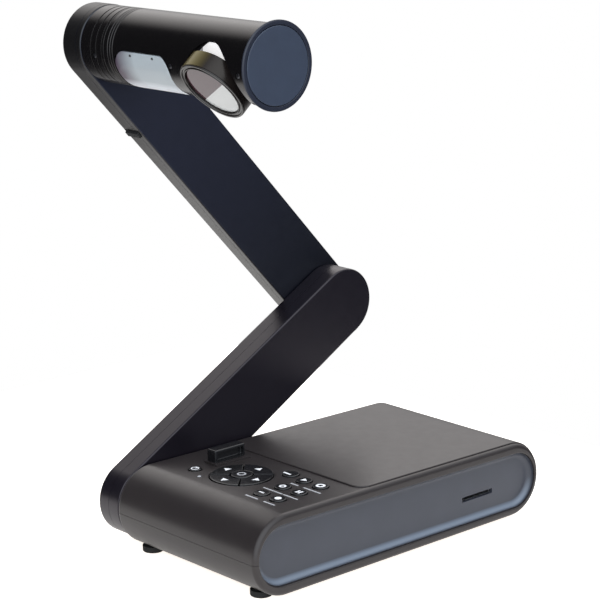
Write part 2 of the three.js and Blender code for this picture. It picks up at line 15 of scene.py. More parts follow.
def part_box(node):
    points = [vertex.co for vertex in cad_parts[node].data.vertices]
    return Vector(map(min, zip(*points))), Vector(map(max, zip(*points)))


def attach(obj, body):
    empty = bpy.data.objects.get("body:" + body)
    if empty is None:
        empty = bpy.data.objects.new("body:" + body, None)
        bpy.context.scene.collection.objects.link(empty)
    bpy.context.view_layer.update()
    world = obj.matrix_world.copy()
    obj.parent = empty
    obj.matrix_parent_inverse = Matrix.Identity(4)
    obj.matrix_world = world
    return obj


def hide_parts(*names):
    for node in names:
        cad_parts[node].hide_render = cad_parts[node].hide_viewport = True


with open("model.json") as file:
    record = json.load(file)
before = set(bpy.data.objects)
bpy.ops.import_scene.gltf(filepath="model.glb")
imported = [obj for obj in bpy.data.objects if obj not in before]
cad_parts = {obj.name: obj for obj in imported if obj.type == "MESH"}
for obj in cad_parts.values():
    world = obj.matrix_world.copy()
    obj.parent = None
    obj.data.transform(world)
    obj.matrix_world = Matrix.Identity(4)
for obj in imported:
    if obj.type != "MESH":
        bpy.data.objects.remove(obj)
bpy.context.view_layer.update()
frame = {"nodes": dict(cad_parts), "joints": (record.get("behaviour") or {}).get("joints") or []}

MM = 0.001
GAP = 0.3              # clearance between touching pieces
WALL = 2.0             # wall of the arm shells
FINE = 128             # sides of a large round piece
MEDIUM = 48            # sides of a key or a foot
SMALL = 24             # sides of a screw head
SEAM = 0.12            # half the width of a parting seam
CREASE = 32            # degrees above which an edge stays sharp
WORN_WIDTH = 0.0005    # metres of rubbed edge

# Base, in its own frame.
BASE_FAR = -4.5        # X of the housing side beside the arm
FRONT_RADIUS = 26.0
REAR_RADIUS = 24.7
EDGE = 3.0             # rounded edge of the housing
SPLIT_Z = 25.0         # parting line of the housing
COVER_FRONT = 89.5     # front edge of the raised rear cover
COVER_LOW = 28.0       # where the cover ends on the rear end
COVER_RISE = 0.8
COVER_CORNER = 9.0
COVER_SPAN = (-1.0, 128.0)
RECESS_FRONT = (23.8, 26.0, 19.4)
RECESS_REAR = (227.0, 23.8, 18.9)
CARD_SLOT = ((181.4, 209.6), (18.8, 22.2))
SOCKET_BAY = ((22, 107), (236.5, 255), (8, 23.5))
FOOT_X = (6, 113)
FOOT_Y = (20, 232)
FOOT_RADIUS = 7

# Bores that the hinge axles run in.
HINGE_BORE = 8.3
ELBOW_BORE = 7.3
SWIVEL_BORE = 9.3

# Arms.
ARM_EDGE = 1.2
LOWER_ENDS = (24.4, 23.6)
LOWER_SPLIT = -15.6    # parting line of the lower arm
UPPER_ENDS = (24.3, 24.4)
UPPER_SPLIT = -31.6
UPPER_FAR = -41.3      # X of the upper arm's far side at the elbow
UPPER_THICKENING = 3.9
STUB_Y = 201.7

# Head.
HEAD_RADIUS = 24.0
HEAD_BORE = 21.0
LENS_RADIUS = 22.4
LENS_FRONT = 25.1
LENS_BACK = 13.2
WINDOW_X = (6.5, 59.5)
WINDOW_MIDDLE = sum(WINDOW_X) / 2
WINDOW_HALF = 17.0
WINDOW_CORNER = 9.0
OPENING_X = 96.25      # middle of the lens opening
OPENING_HALF = (25.7, 22.95)
CAP_DISC_RADIUS = 23.0
CAP_RADIUS = 26.3
STEM_RADIUS = 6.0
HEAD_SCREWS = (61.2, 123.2)
COLLAR_SCREW = -13
SCREW_ANGLE = math.radians(-170.5)
SCREW_RADIUS = 1.7
CLIP_X = (23.5, 45.0)
CLIP_Y = 14.6
COLLAR_GROOVES = (-16, -10.5, -5)
TUBE_RIBS = (0.6, 3.0, 5.4)

# Keys: name, place and radius.
POWER = ("power_button", 26.6, 40.0, 4.2)
MENU = ("menu_button", 76.5, 77.5, 5.5)
KEY_COLUMNS = (40.0, 57.2, 75.0)
KEY_ROWS = (92.0, 107.4)
FUNCTION_KEYS = [
    (f"function_key_{row * len(KEY_COLUMNS) + column + 1}", x, y, 5.2)
    for row, x in enumerate(KEY_ROWS)
    for column, y in enumerate(KEY_COLUMNS)
]
ROUND_KEYS = [POWER, MENU, *FUNCTION_KEYS]
KEY_FOOT = 46.7        # height of the keys' undersides
KEY_RISE = 0.8
PAD = (56.5, 53.7)     # middle of the four-way pad
PAD_RING = (7.6, 20.3)
PAD_HOLE = 20.7
PAD_ARROW = 14.3       # from the middle of the pad to an arrow
ENTER_RADIUS = 7.0
ENTER_RISE = 0.3       # of the middle key above the pad
WELL_FLOOR = 44
MARK_DEPTH = 0.06      # thickness of a printed mark
LAMP = (39.0, 33.4, 1.3)
LABEL_ROWS = (92.8, 109.2)
LABEL_AHEAD = 8.8      # from a key to the dash in front of it


# Places: matrices from millimetres in a body's local frame to the row frame.
def joint_vector(name, key="pos_m"):
    return next(Vector(joint[key]) for joint in frame["joints"] if joint["name"] == name)


def placed(x, y, z, turned=0.0):
    return Matrix.Translation((x, y, z)) @ Matrix.Rotation(turned, 4, "X") @ Matrix.Scale(MM, 4)


def direction(start, end):
    """Angle above +Y of the way from start to end."""
    return math.atan2(end.z - start.z, end.y - start.y)


housing_low, housing_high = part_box("base_bottom")
HINGE = joint_vector("base_hinge")
ELBOW = joint_vector("elbow_hinge")
HEAD = joint_vector("head_swivel")
LENS = joint_vector("lens_turn")
LENS_AXIS = joint_vector("lens_turn", "axis")
LENS_ANGLE = math.atan2(LENS_AXIS.z, LENS_AXIS.y)
ZERO_X = housing_low.x - BASE_FAR * MM
LOWER_LENGTH = math.hypot(ELBOW.y - HINGE.y, ELBOW.z - HINGE.z) / MM
UPPER_LENGTH = math.hypot(HEAD.y - ELBOW.y, HEAD.z - ELBOW.z) / MM
LENS_X = (LENS.x - ZERO_X) / MM

BASE_PLACE = placed(ZERO_X, housing_low.y, housing_low.z)
LOWER_PLACE = placed(ZERO_X, HINGE.y, HINGE.z, direction(HINGE, ELBOW))
UPPER_PLACE = placed(ZERO_X, ELBOW.y, ELBOW.z, direction(ELBOW, HEAD))
HEAD_PLACE = placed(ZERO_X, HEAD.y, HEAD.z)
LENS_PLACE = placed(LENS.x, LENS.y, LENS.z, LENS_ANGLE - math.pi / 2)


def local_box(node):
    """X span of a CAD node in local millimetres."""
    low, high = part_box(node)
    return (low.x - ZERO_X) / MM, (high.x - ZERO_X) / MM


BASE_NEAR = local_box("base_bottom")[1]
PANEL_X = local_box("side_panel")
BASE_LENGTH = (housing_high.y - housing_low.y) / MM
SCREW_PLACE = HEAD_PLACE @ Matrix.Rotation(SCREW_ANGLE, 4, "X")


# Materials.
class Graph:
    """A tree of shader nodes."""

    def __init__(self, tree):
        self.tree = tree

    def node(self, kind, **settings):
        made = self.tree.nodes.new(kind)
        for key, value in settings.items():
            setattr(made, key, value)
        return made

    def link(self, source, target):
        self.tree.links.new(source, target)

    def feed(self, value, target):
        """Gives an input a plain value, or the output of another node."""
        if isinstance(value, bpy.types.NodeSocket):
            self.link(value, target)
        else:
            target.default_value = value

    def spread(self, value, low, high, start=0.3, end=0.7, curve="LINEAR"):
        """Maps the values from start to end onto low to high."""
        mapping = self.node("ShaderNodeMapRange", interpolation_type=curve)
        mapping.inputs["From Min"].default_value = start
        mapping.inputs["From Max"].default_value = end
        mapping.inputs["To Min"].default_value = low
        mapping.inputs["To Max"].default_value = high
        self.link(value, mapping.inputs["Value"])
        return mapping.outputs["Result"]

    def calculate(self, operation, *values):
        """Result of a sum on node outputs and plain numbers."""
        made = self.node("ShaderNodeMath", operation=operation)
        for number, value in enumerate(values):
            self.feed(value, made.inputs[number])
        return made.outputs["Value"]

    def dot(self, vector, way):
        made = self.node("ShaderNodeVectorMath", operation="DOT_PRODUCT")
        self.link(vector, made.inputs[0])
        self.feed(way, made.inputs[1])
        return made.outputs["Value"]

    def scaled(self, vector, amount):
        made = self.node("ShaderNodeVectorMath", operation="SCALE")
        self.feed(vector, made.inputs[0])
        self.link(amount, made.inputs["Scale"])
        return made.outputs["Vector"]

    def parts(self, vector):
        """The X, Y and Z outputs of a vector."""
        made = self.node("ShaderNodeSeparateXYZ")
        self.link(vector, made.inputs[0])
        return made.outputs

    def blend_colour(self, value, first, second):
        """Mix of two colours, each of them plain or the output of another node."""
        mix = self.node("ShaderNodeMix", data_type="RGBA")
        for name, colour in (("A", first), ("B", second)):
            plain = not isinstance(colour, bpy.types.NodeSocket)
            self.feed((*colour, 1) if plain else colour, mix.inputs[name])
        self.link(value, mix.inputs["Factor"])
        return mix.outputs["Result"]


class Look(Graph):
    """A material with the record's slot that it stands for."""

    def __init__(self, name, slot):
        self.slot = slot
        self.material = bpy.data.materials.new(name)
        self.material.use_nodes = True
        super().__init__(self.material.node_tree)
        self.shader = self.tree.nodes["Principled BSDF"]
        self.coordinates = self.node("ShaderNodeTexCoord").outputs["Object"]

    def set(self, **values):
        for key, value in values.items():
            self.shader.inputs[key.replace("_", " ")].default_value = value

    def painted(self):
        """The output that gives the base colour so far."""
        return self.shader.inputs["Base Color"].links[0].from_socket

    def paint(self, colour):
        self.link(colour, self.shader.inputs["Base Color"])

    def noise(self, scale, detail=2.0, stretch=None):
        noise = self.node("ShaderNodeTexNoise")
        noise.inputs["Scale"].default_value = scale
        noise.inputs["Detail"].default_value = detail
        where = self.coordinates
        if stretch:
            mapping = self.node("ShaderNodeMapping")
            mapping.inputs["Scale"].default_value = stretch
            self.link(where, mapping.inputs["Vector"])
            where = mapping.outputs["Vector"]
        self.link(where, noise.inputs["Vector"])
        return noise.outputs["Fac"]

    def normal(self):
        return self.node("ShaderNodeNewGeometry").outputs["Normal"]

    def edges(self, width):
        """1 along worn edges and 0 on faces, broken up by noise."""
        bevel = self.node("ShaderNodeBevel", samples=4)
        bevel.inputs["Radius"].default_value = width
        edge = self.spread(self.dot(bevel.outputs["Normal"], self.normal()), 1, 0, 0.82, 0.995)
        return self.calculate("MULTIPLY", edge, self.spread(self.noise(420.0, 4.0), 0.15, 1.0))

    def tint(self, colour, change, scale, worn=None):
        """Base colour that wanders a little round one colour, towards another along worn edges."""
        dark = [part * (1 - change) for part in colour]
        light = [min(1.0, part * (1 + change)) for part in colour]
        self.paint(self.blend_colour(self.spread(self.noise(scale, 4), 0, 1), dark, light))
        if worn:
            self.paint(self.blend_colour(self.edges(WORN_WIDTH), self.painted(), worn))

    def roughen(self, middle, change, scale):
        """Gloss that wanders a little."""
        value = self.spread(self.noise(scale, 3), middle - change, middle + change)
        self.link(value, self.shader.inputs["Roughness"])

    def grain(self, value, strength, depth):
        """A fine unevenness of the surface."""
        bump = self.node("ShaderNodeBump")
        bump.inputs["Strength"].default_value = strength
        bump.inputs["Distance"].default_value = depth
        self.link(value, bump.inputs["Height"])
        self.link(bump.outputs["Normal"], self.shader.inputs["Normal"])


def moulded(name, slot, colour, roughness, grain=0.25, grain_scale=2600.0, specular=0.5, tinted=(1, 1, 1),
            wear=1.0):
    """Moulded plastic: a fine spark-eroded grain, faint colour drift, uneven gloss and rubbed edges."""
    look = Look(name, slot)
    worn = [part * (1 + wear / 2) + 0.012 * wear for part in colour] if wear else None
    look.tint(colour, 0.05, 90.0, worn)
    look.roughen(roughness, 0.018, 160.0)
    look.grain(look.noise(grain_scale, 2.0), grain, 0.00004)
    look.set(Specular_IOR_Level=specular, Specular_Tint=(*tinted, 1))
    return look


def dished_with_painted_light(name, slot, colour, pale, roughness):
    """Moulded plastic that pales with painted light where its surface sweeps round from facing sideways to
    facing upwards.
    """
    look = moulded(name, slot, colour, roughness, grain=0.15)
    # Painted light: the more the surface faces both sideways and up, the paler it is painted.
    facing = look.parts(look.normal())
    slant = look.calculate("MULTIPLY", facing["X"], facing["Z"])
    look.paint(look.blend_colour(look.spread(slant, 0, 1, 0.05, 0.45), look.painted(), pale))
    return look


def arm_skin(name, slot, side, side_tint, edge, edge_tint, start, way):
    """Moulded plastic of the arm: blue on its flat sides, with painted shade that darkens it towards the
    elbow and pales it along the arm, and a painted reflection that makes it blacker on its edges.
    """
    look = moulded(name, slot, side, 0.36, wear=0.25)
    # Painted reflection: the rounded edges are painted blacker than the flat sides.
    facing = look.parts(look.normal())["X"]
    flat = look.spread(look.calculate("MULTIPLY", facing, facing), 0, 1, 0.2, 0.9)
    # Painted shade: the colour is darkened towards the elbow and paled along the arm towards the head.
    first = start.dot(way)
    pale = look.spread(look.dot(look.coordinates, way), 0.2, 1.5, first, first + 0.20)
    look.paint(look.blend_colour(flat, edge, look.scaled(look.painted(), pale)))
    look.link(look.blend_colour(flat, edge_tint, side_tint), look.shader.inputs["Specular Tint"])
    return look


def banded(name, slot, colour, band, centre, half):
    """Moulded plastic with a soft band of another colour across the X direction."""
    look = moulded(name, slot, colour, 0.25, grain=0.08, specular=0.35, tinted=(1.0, 0.93, 0.85), wear=0.2)
    offset = look.calculate("SUBTRACT", look.parts(look.coordinates)["X"], centre)
    distance = look.calculate("ABSOLUTE", offset)
    look.paint(look.blend_colour(look.spread(distance, 1, 0, 0.0, half), look.painted(), band))
    return look


def brushed(name, slot, colour, roughness):
    """Metal with fine brush lines across its Z direction."""
    look = Look(name, slot)
    look.tint(colour, 0.05, 90.0)
    look.roughen(roughness, 0.06, 700.0)
    look.grain(look.noise(900.0, 3.0, (1.0, 1.0, 12.0)), 0.12, 0.00003)
    look.set(Metallic=1.0)
    return look


def glassy(name, slot, colour, roughness, specular=0.9, coat=0.6):
    """Dark coated glass: glossy, with the faintest haze and dust."""
    look = Look(name, slot)
    look.tint(colour, 0.04, 40.0)
    look.roughen(roughness, roughness * 0.4, 220.0)
    look.set(Specular_IOR_Level=specular, Coat_Weight=coat, Coat_Roughness=0.03)
    return look


def glass_with_painted_reflection(name, slot, first, second, across, offset):
    """Front glass with a painted reflection of a table top and its edge: mauve on one side of a line and pale
    on the other.
    """
    look = glassy(name, slot, first, 0.08, 0.32, 0.1)
    side = look.spread(look.dot(look.coordinates, across), 0, 1, offset - 0.0002, offset + 0.0002)
    drift = look.spread(look.noise(60.0, 3.0), 0.0, 0.18)
    mauve = look.blend_colour(drift, first, [part * 0.75 for part in first])
    pale = look.blend_colour(drift, second, [part * 0.85 for part in second])
    look.paint(look.blend_colour(side, mauve, pale))
    return look


def frosted(name, slot, start, length):
    """Frosted light cover: violet-grey at its far end, paler along its lower edge with a painted highlight.
    """
    look = Look(name, slot)
    cloud = look.calculate("MULTIPLY_ADD", look.noise(70.0, 3.0), 0.010, look.parts(look.coordinates)["X"])
    body = look.spread(cloud, 0, 1, start + 0.008, start + length)
    # Painted highlight: a pale band along the lower edge.
    lower = LENS_PLACE.to_3x3().normalized() @ Vector((0, -1, 0))
    level = lower.dot(LENS)
    edge = look.spread(look.dot(look.coordinates, lower), 0, 1, level + 0.001, level + 0.011)
    middle = look.blend_colour(body, (0.085, 0.060, 0.085), (0.45, 0.49, 0.51))
    look.paint(look.blend_colour(edge, middle, (0.86, 0.88, 0.92)))
    look.roughen(0.36, 0.04, 160.0)
    look.grain(look.noise(1800.0, 2.0), 0.03, 0.00002)
    return look


def painted_glow(look, colour, strength):
    """Gives a piece a painted glow, in place of the lights inside the head shining on it."""
    look.set(Emission_Color=(*colour, 1), Emission_Strength=strength)
    return look


# Direction across the line of the painted reflection on the front glass, and how far along it the line lies.
REFLECTION_LINE_SIDE = LENS_PLACE.to_3x3().normalized() @ Vector((0.5, -0.866, 0.0))
REFLECTION_LINE_START = REFLECTION_LINE_SIDE.dot(LENS) + 1.26 * MM

LOOKS = {
    "housing": moulded("housing_grey", "housing", (0.024, 0.0200, 0.0200), 0.32, specular=0.41,
                       tinted=(1.0, 0.97, 0.955)),
    # The panel's upward sweep is paled with painted light.
    "panel": dished_with_painted_light("panel_blue", "panel", (0.031, 0.034, 0.046), (0.14, 0.168, 0.212), 0.36),
    # The arm carries painted shade towards the elbow and a painted reflection on its edges.
    "arm": arm_skin("arm_navy", "arm", (0.0066, 0.0074, 0.0145), (0.84, 0.88, 1.0),
                    (0.004, 0.0037, 0.004), (1, 0.98, 0.96), ELBOW, (HEAD - ELBOW).normalized()),
    "arm_lower": moulded("arm_black", "arm", (0.005, 0.004, 0.007), 0.32, tinted=(1.0, 0.92, 0.98), wear=0.4),
    "head": moulded("head_black", "head", (0.003, 0.0026, 0.0026), 0.20, grain=0.10, tinted=(1.0, 0.95, 0.93),
                    wear=0.15),
    "cap": moulded("cap_slate", "cap", (0.034, 0.045, 0.072), 0.45, grain=0.3),
    "cap_rim": moulded("cap_rim_slate", "cap", (0.016, 0.019, 0.032), 0.36),
    "key": moulded("key_black", "key", (0.007, 0.007, 0.008), 0.20, grain=0.08),
    "rubber": moulded("rubber_black", "rubber", (0.010, 0.010, 0.010), 0.85, grain=0.5, grain_scale=1500.0),
    "board": moulded("circuit_green", "board", (0.015, 0.10, 0.035), 0.5),
    "socket": moulded("socket_black", "socket", (0.010, 0.010, 0.011), 0.45),
    "white": moulded("white_plastic", "white", (0.85, 0.84, 0.81), 0.5),
    # The lens seat glows with painted light.
    "seat": painted_glow(moulded("painted_glow_white", "white", (0.85, 0.84, 0.81), 0.5, wear=0.0), (0.97, 0.97, 1.0), 0.75),
    "mark": moulded("printed_white", "white", (0.92, 0.92, 0.94), 0.55, grain=0.1, wear=0.0),
    "label": moulded("printed_grey", "white", (0.42, 0.42, 0.44), 0.6, grain=0.1, wear=0.0),
    "window": frosted("frosted_window", "window", ZERO_X + WINDOW_X[0] * MM, 0.026),
    "steel": brushed("bright_steel", "steel", (0.55, 0.55, 0.56), 0.32),
    "screw": brushed("dark_steel", "steel", (0.10, 0.10, 0.11), 0.38),
    "lens_ring": banded("lens_ring_brown", "lens_ring", (0.012, 0.009, 0.008), (0.165, 0.130, 0.042),
                        LENS.x - 0.004, 0.013),
    "bezel": moulded("lens_bezel_black", "lens_ring", (0.016, 0.013, 0.011), 0.25, grain=0.08, wear=0.4),
    "glass": glassy("inner_glass", "lens_glass", (0.10, 0.08, 0.09), 0.05),
    # The front glass carries a painted reflection: mauve on one side of a line, pale on the other.
    "cover_glass": glass_with_painted_reflection("painted_reflection_glass", "lens_glass", (0.065, 0.030, 0.037), (0.62, 0.62, 0.60),
                                REFLECTION_LINE_SIDE, REFLECTION_LINE_START),
}


# Mesh making.
def turn(start, end, steps):
    """Angles in radians from start to end degrees, both included."""
    return [math.radians(start + (end - start) * k / steps) for k in range(steps + 1)]


def added(name, data):
    """A new object in the scene."""
    made = bpy.data.objects.new(name, data)
    bpy.context.scene.collection.objects.link(made)
    return made


def shape(name, points, faces, place):
    """A mesh object from points in millimetres, with its faces turned outwards."""
    mesh = bpy.data.meshes.new(name)
    mesh.from_pydata([tuple(place @ Vector(point)) for point in points], [], faces)
    work = bmesh.new()
    work.from_mesh(mesh)
    bmesh.ops.remove_doubles(work, verts=work.verts, dist=1e-6)
    bmesh.ops.recalc_face_normals(work, faces=work.faces)
    work.to_mesh(mesh)
    work.free()
    return added(name, mesh)


def loft(name, rings, place, closed=False):
    """Joins rings of equally many points. The ends get a flat face, or meet if closed."""
    count = len(rings[0])
    points = [point for ring in rings for point in ring]
    faces = []
    last = len(rings) if closed else len(rings) - 1
    for row in range(last):
        here = row * count
        there = (row + 1) % len(rings) * count
        for k in range(count):
            after = (k + 1) % count
            faces.append((here + k, here + after, there + after, there + k))
    if not closed:
        faces.append(tuple(range(count)))
        faces.append(tuple(range(len(points) - count, len(points))))
    return shape(name, points, faces, place)


def belt(front, rear, inset, steps):
    """Outline of a belt round two circles (y, z, radius), as points (y, z)."""
    radii = (front[2] - inset, rear[2] - inset)
    distance = math.hypot(rear[0] - front[0], rear[1] - front[1])
    lean = math.degrees(math.atan2(rear[1] - front[1], rear[0] - front[0]))
    spread = math.degrees(math.acos((radii[0] - radii[1]) / distance))
    outline = []
    for (y, z, _), radius, start, end in (
        (front, radii[0], lean + spread, lean - spread + 360),
        (rear, radii[1], lean - spread, lean + spread),
    ):
        outline += [(y + radius * math.cos(t), z + radius * math.sin(t)) for t in turn(start, end, steps)]
    return outline


def round_over(x0, x1, edge, steps):
    """Stations (x, inset) along a plank with rounded edges at its two ends."""
    low = [(x0 + edge * (1 - math.cos(t)), edge * (1 - math.sin(t))) for t in turn(0, 90, steps)]
    high = [(x1 - edge * (1 - math.sin(t)), edge * (1 - math.cos(t))) for t in turn(0, 90, steps)]
    return low + high


def plank(name, front, rear, stations, place, steps):
    """A thick belt shape, with its outline drawn in by the inset of each station."""
    rings = []
    for x, inset in stations:
        rings.append([(x, y, z) for y, z in belt(front, rear, inset, steps)])
    return loft(name, rings, place)


def softened(profile, steps=4):
    """Rounds the corners of a closed profile of (r, h) or (r, h, corner radius)."""
    outline = []
    count = len(profile)
    for k, corner in enumerate(profile):
        here = Vector(corner[:2])
        if len(corner) < 3:
            outline.append(tuple(here))
            continue
        before = (Vector(profile[k - 1][:2]) - here).normalized()
        after = (Vector(profile[(k + 1) % count][:2]) - here).normalized()
        half = before.angle(after) / 2
        reach = corner[2] / math.tan(half)
        centre = here + (before + after).normalized() * corner[2] / math.sin(half)
        first = here + before * reach - centre
        last = here + after * reach - centre
        sweep = first.angle_signed(last)
        for step in range(steps + 1):
            spoke = first.copy()
            spoke.rotate(Matrix.Rotation(-sweep * step / steps, 2))
            outline.append(tuple(centre + spoke))
    return outline


def lathe(name, profile, place, axis="Z", sides=FINE, at=(0, 0, 0)):
    """Turns a closed profile of (radius, height) about an axis through a point."""
    outline = softened(profile)
    rings = []
    for k in range(sides):
        c = math.cos(2 * math.pi * k / sides)
        s = math.sin(2 * math.pi * k / sides)
        if axis == "Z":
            rings.append([(at[0] + r * c, at[1] + r * s, at[2] + h) for r, h in outline])
        elif axis == "X":
            rings.append([(at[0] + h, at[1] + r * c, at[2] + r * s) for r, h in outline])
        else:
            rings.append([(at[0] + r * c, at[1] + h, at[2] + r * s) for r, h in outline])
    return loft(name, rings, place, closed=True)


def disc(radius, low, high, corner=None):
    """Profile of a plain disc for lathe()."""
    top = (radius, high) if corner is None else (radius, high, corner)
    return [(0, low), (radius, low), top, (0, high)]


def block(name, xs, ys, zs, place, edge=0.0):
    """A box, with rounded edges if asked for."""
    points = [(x, y, z) for x in xs for y in ys for z in zs]
    faces = [(0, 1, 3, 2), (4, 6, 7, 5), (0, 4, 5, 1), (2, 3, 7, 6), (0, 2, 6, 4), (1, 5, 7, 3)]
    made = shape(name, points, faces, place)
    if edge:
        work = bmesh.new()
        work.from_mesh(made.data)
        bmesh.ops.bevel(work, geom=work.edges[:], offset=edge * MM, segments=3, profile=0.5,
                        affect="EDGES", clamp_overlap=True)
        work.to_mesh(made.data)
        work.free()
    return made


def prism(name, outline, low, high, place, height=None):
    """An outline (x, y) raised from low to high above a surface, which is Z 0 without height()."""
    ground = height or (lambda x, y: 0.0)
    rings = []
    for level in (low, high):
        rings.append([(x, y, ground(x, y) + level) for x, y in outline])
    return loft(name, rings, place)


def pad_offsets(edge, corner):
    """Distances from a pad's boundary at which it has a row of points."""
    fine = [edge * (1 - math.cos(t)) for t in turn(0, 90, 5)]
    coarse = [edge + (corner - edge) * (k / 7) ** 1.6 for k in range(1, 8)]
    return fine + coarse


def pad(name, surface, half_width, half_length, corner, top, low, edge, place, rows=60):
    """A closed pad with rounded corners and edges that follows surface(across, along, height)."""
    offsets = pad_offsets(edge, corner)
    inner = half_length - corner
    middle = [-inner + 2 * inner * k / rows for k in range(1, rows)]
    along = [-half_length + step for step in offsets] + middle
    along += [half_length - step for step in reversed(offsets)]
    rings = []
    for s in along:
        past = max(0.0, abs(s) - inner)
        limit = half_width - corner + math.sqrt(max(0.0, corner ** 2 - past ** 2))
        across = [-limit + step for step in offsets] + [0.0] + [limit - step for step in reversed(offsets)]
        upper = []
        for x in across:
            qx = abs(x) - (half_width - corner)
            qs = abs(s) - inner
            outside = math.hypot(max(qx, 0), max(qs, 0)) + min(max(qx, qs), 0) - corner
            depth = min(1.0, max(0.0, -outside / edge))
            upper.append(surface(x, s, top - edge * (1 - math.sqrt(1 - (1 - depth) ** 2))))
        lower = [surface(x, s, low) for x in reversed(across)]
        rings.append(upper + lower)
    return loft(name, rings, place)


def combine(target, operation, *others):
    """Boolean of the target with each of the others, which are used up."""
    for other in others:
        modifier = target.modifiers.new("combine", "BOOLEAN")
        modifier.operation = operation
        modifier.solver = "EXACT"
        modifier.object = other
        graph = bpy.context.evaluated_depsgraph_get()
        mesh = bpy.data.meshes.new_from_object(target.evaluated_get(graph), depsgraph=graph)
        target.modifiers.clear()
        target.data = mesh
        bpy.data.objects.remove(other)
    return target


def copy_of(target, name):
    return added(name, target.data.copy())


def gathered(name, pieces):
    """One object with the meshes of several that don't touch."""
    work = bmesh.new()
    for part in pieces:
        work.from_mesh(part.data)
        bpy.data.objects.remove(part)
    mesh = bpy.data.meshes.new(name)
    work.to_mesh(mesh)
    work.free()
    return added(name, mesh)


def dress(part, body, look, *stands_for):
    """Gives a piece its finish, smooth shading and body, and hides the CAD nodes it replaces."""
    chosen = LOOKS[look]
    part.data.materials.clear()
    part.data.materials.append(chosen.material)
    part.data.shade_smooth()
    part.data.set_sharp_from_angle(angle=math.radians(CREASE))
    normals = part.modifiers.new("even_normals", "WEIGHTED_NORMAL")
    normals.keep_sharp = True
    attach(part, body)
    if stands_for:
        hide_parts(*stands_for)
    return part


# Base housing: its end circles as (y, z, radius), and the run of the rear cover over its top.
FRONT = (FRONT_RADIUS, FRONT_RADIUS, FRONT_RADIUS)
REAR = (BASE_LENGTH - REAR_RADIUS, REAR_RADIUS, REAR_RADIUS)
SLOPE = (2 * REAR_RADIUS - 2 * FRONT_RADIUS) / (REAR[0] - FRONT[0])
TOP_ANGLE = math.pi / 2 + math.atan(SLOPE)
ARC_END = math.asin((COVER_LOW - REAR[1]) / REAR_RADIUS)
COVER_MIDDLE = (COVER_SPAN[0] + COVER_SPAN[1]) / 2
COVER_HALF = (COVER_SPAN[1] - COVER_SPAN[0]) / 2
COVER_FLAT = (REAR[0] - COVER_FRONT) / math.cos(math.atan(SLOPE))
COVER_HALF_LENGTH = (COVER_FLAT + REAR_RADIUS * (TOP_ANGLE - ARC_END)) / 2


def top_height(x, y):
    """Height of the housing's sloping top, the same for every x."""
    return 2 * FRONT_RADIUS + SLOPE * (y - FRONT[0])


def cover_surface(x, s, height):
    """A point above the housing's top and rear end, s being the way from the middle of the cover."""
    way = s + COVER_HALF_LENGTH
    if way < COVER_FLAT:
        y = COVER_FRONT + way * math.sin(TOP_ANGLE)
        z = top_height(x, y)
        return (COVER_MIDDLE + x, y + height * math.cos(TOP_ANGLE), z + height * math.sin(TOP_ANGLE))
    angle = TOP_ANGLE - (way - COVER_FLAT) / REAR_RADIUS
    radius = REAR_RADIUS + height
    return (COVER_MIDDLE + x, REAR[0] + radius * math.cos(angle), REAR[1] + radius * math.sin(angle))


def well(x, y, radius, lip=0.35):
    """Cutter for a key hole with a rounded lip."""
    top = top_height(x, y)
    above = top + 1.4 * lip
    profile = [(0, WELL_FLOOR), (radius, WELL_FLOOR), (radius, top - lip, lip), (radius + 2.4 * lip, above),
               (0, above)]
    return lathe("well", profile, BASE_PLACE, sides=MEDIUM if radius < 12 else FINE, at=(x, y, 0))


def recess_cutter():
    """Cutter for the recess in the near side, which widens over a rounded lip."""
    lip = 0.9
    stations = [(PANEL_X[0] - 1, 0.0)]
    stations += [(BASE_NEAR - lip * (1 - math.sin(t)), -lip * (1 - math.cos(t))) for t in turn(0, 90, 5)]
    stations.append((BASE_NEAR + 1, -lip))
    return plank("opening", RECESS_FRONT, RECESS_REAR, stations, BASE_PLACE, 48)


def make_housing():
    """Hollow housing with its openings, parted in two halves, and the cover set into its top."""
    wall = 3.0
    margin = 0.45
    shell = plank("housing", FRONT, REAR, round_over(BASE_FAR, BASE_NEAR, EDGE, 7), BASE_PLACE, 56)
    room = [(BASE_FAR + wall, wall), (PANEL_X[0] - GAP, wall)]
    hollow = plank("hollow", FRONT, REAR, room, BASE_PLACE, 24)
    axle_hole = lathe("hole", disc(HINGE_BORE, -10, 0), BASE_PLACE, "X", MEDIUM, (0, FRONT[0], FRONT[1]))
    bay = block("bay", *SOCKET_BAY, BASE_PLACE)
    groove = pad("groove", cover_surface, COVER_HALF + margin, COVER_HALF_LENGTH + margin,
                 COVER_CORNER + margin, 3.0, -1.7, 0.01, BASE_PLACE)
    holes = [well(x, y, radius + 0.35) for _, x, y, radius in ROUND_KEYS]
    holes += [well(*PAD, PAD_HOLE), well(LAMP[0], LAMP[1], LAMP[2] + 0.2, 0.15)]
    combine(shell, "DIFFERENCE", hollow, recess_cutter(), axle_hole, bay, groove, gathered("wells", holes))
    lower = copy_of(shell, "housing_lower")
    shell.name = "housing_upper"
    past_x = (-10, 140)
    past_y = (-10, 260)
    combine(shell, "INTERSECT", block("above", past_x, past_y, (SPLIT_Z + SEAM, 70), BASE_PLACE))
    combine(lower, "INTERSECT", block("below", past_x, past_y, (-10, SPLIT_Z - SEAM), BASE_PLACE))
    dress(shell, "base", "housing", "base_top")
    dress(lower, "base", "housing", "base_bottom")
    cover = pad("cover", cover_surface, COVER_HALF, COVER_HALF_LENGTH, COVER_CORNER, COVER_RISE, -1.3, 0.7,
                BASE_PLACE)
    dress(cover, "base", "housing", "rear_cover")


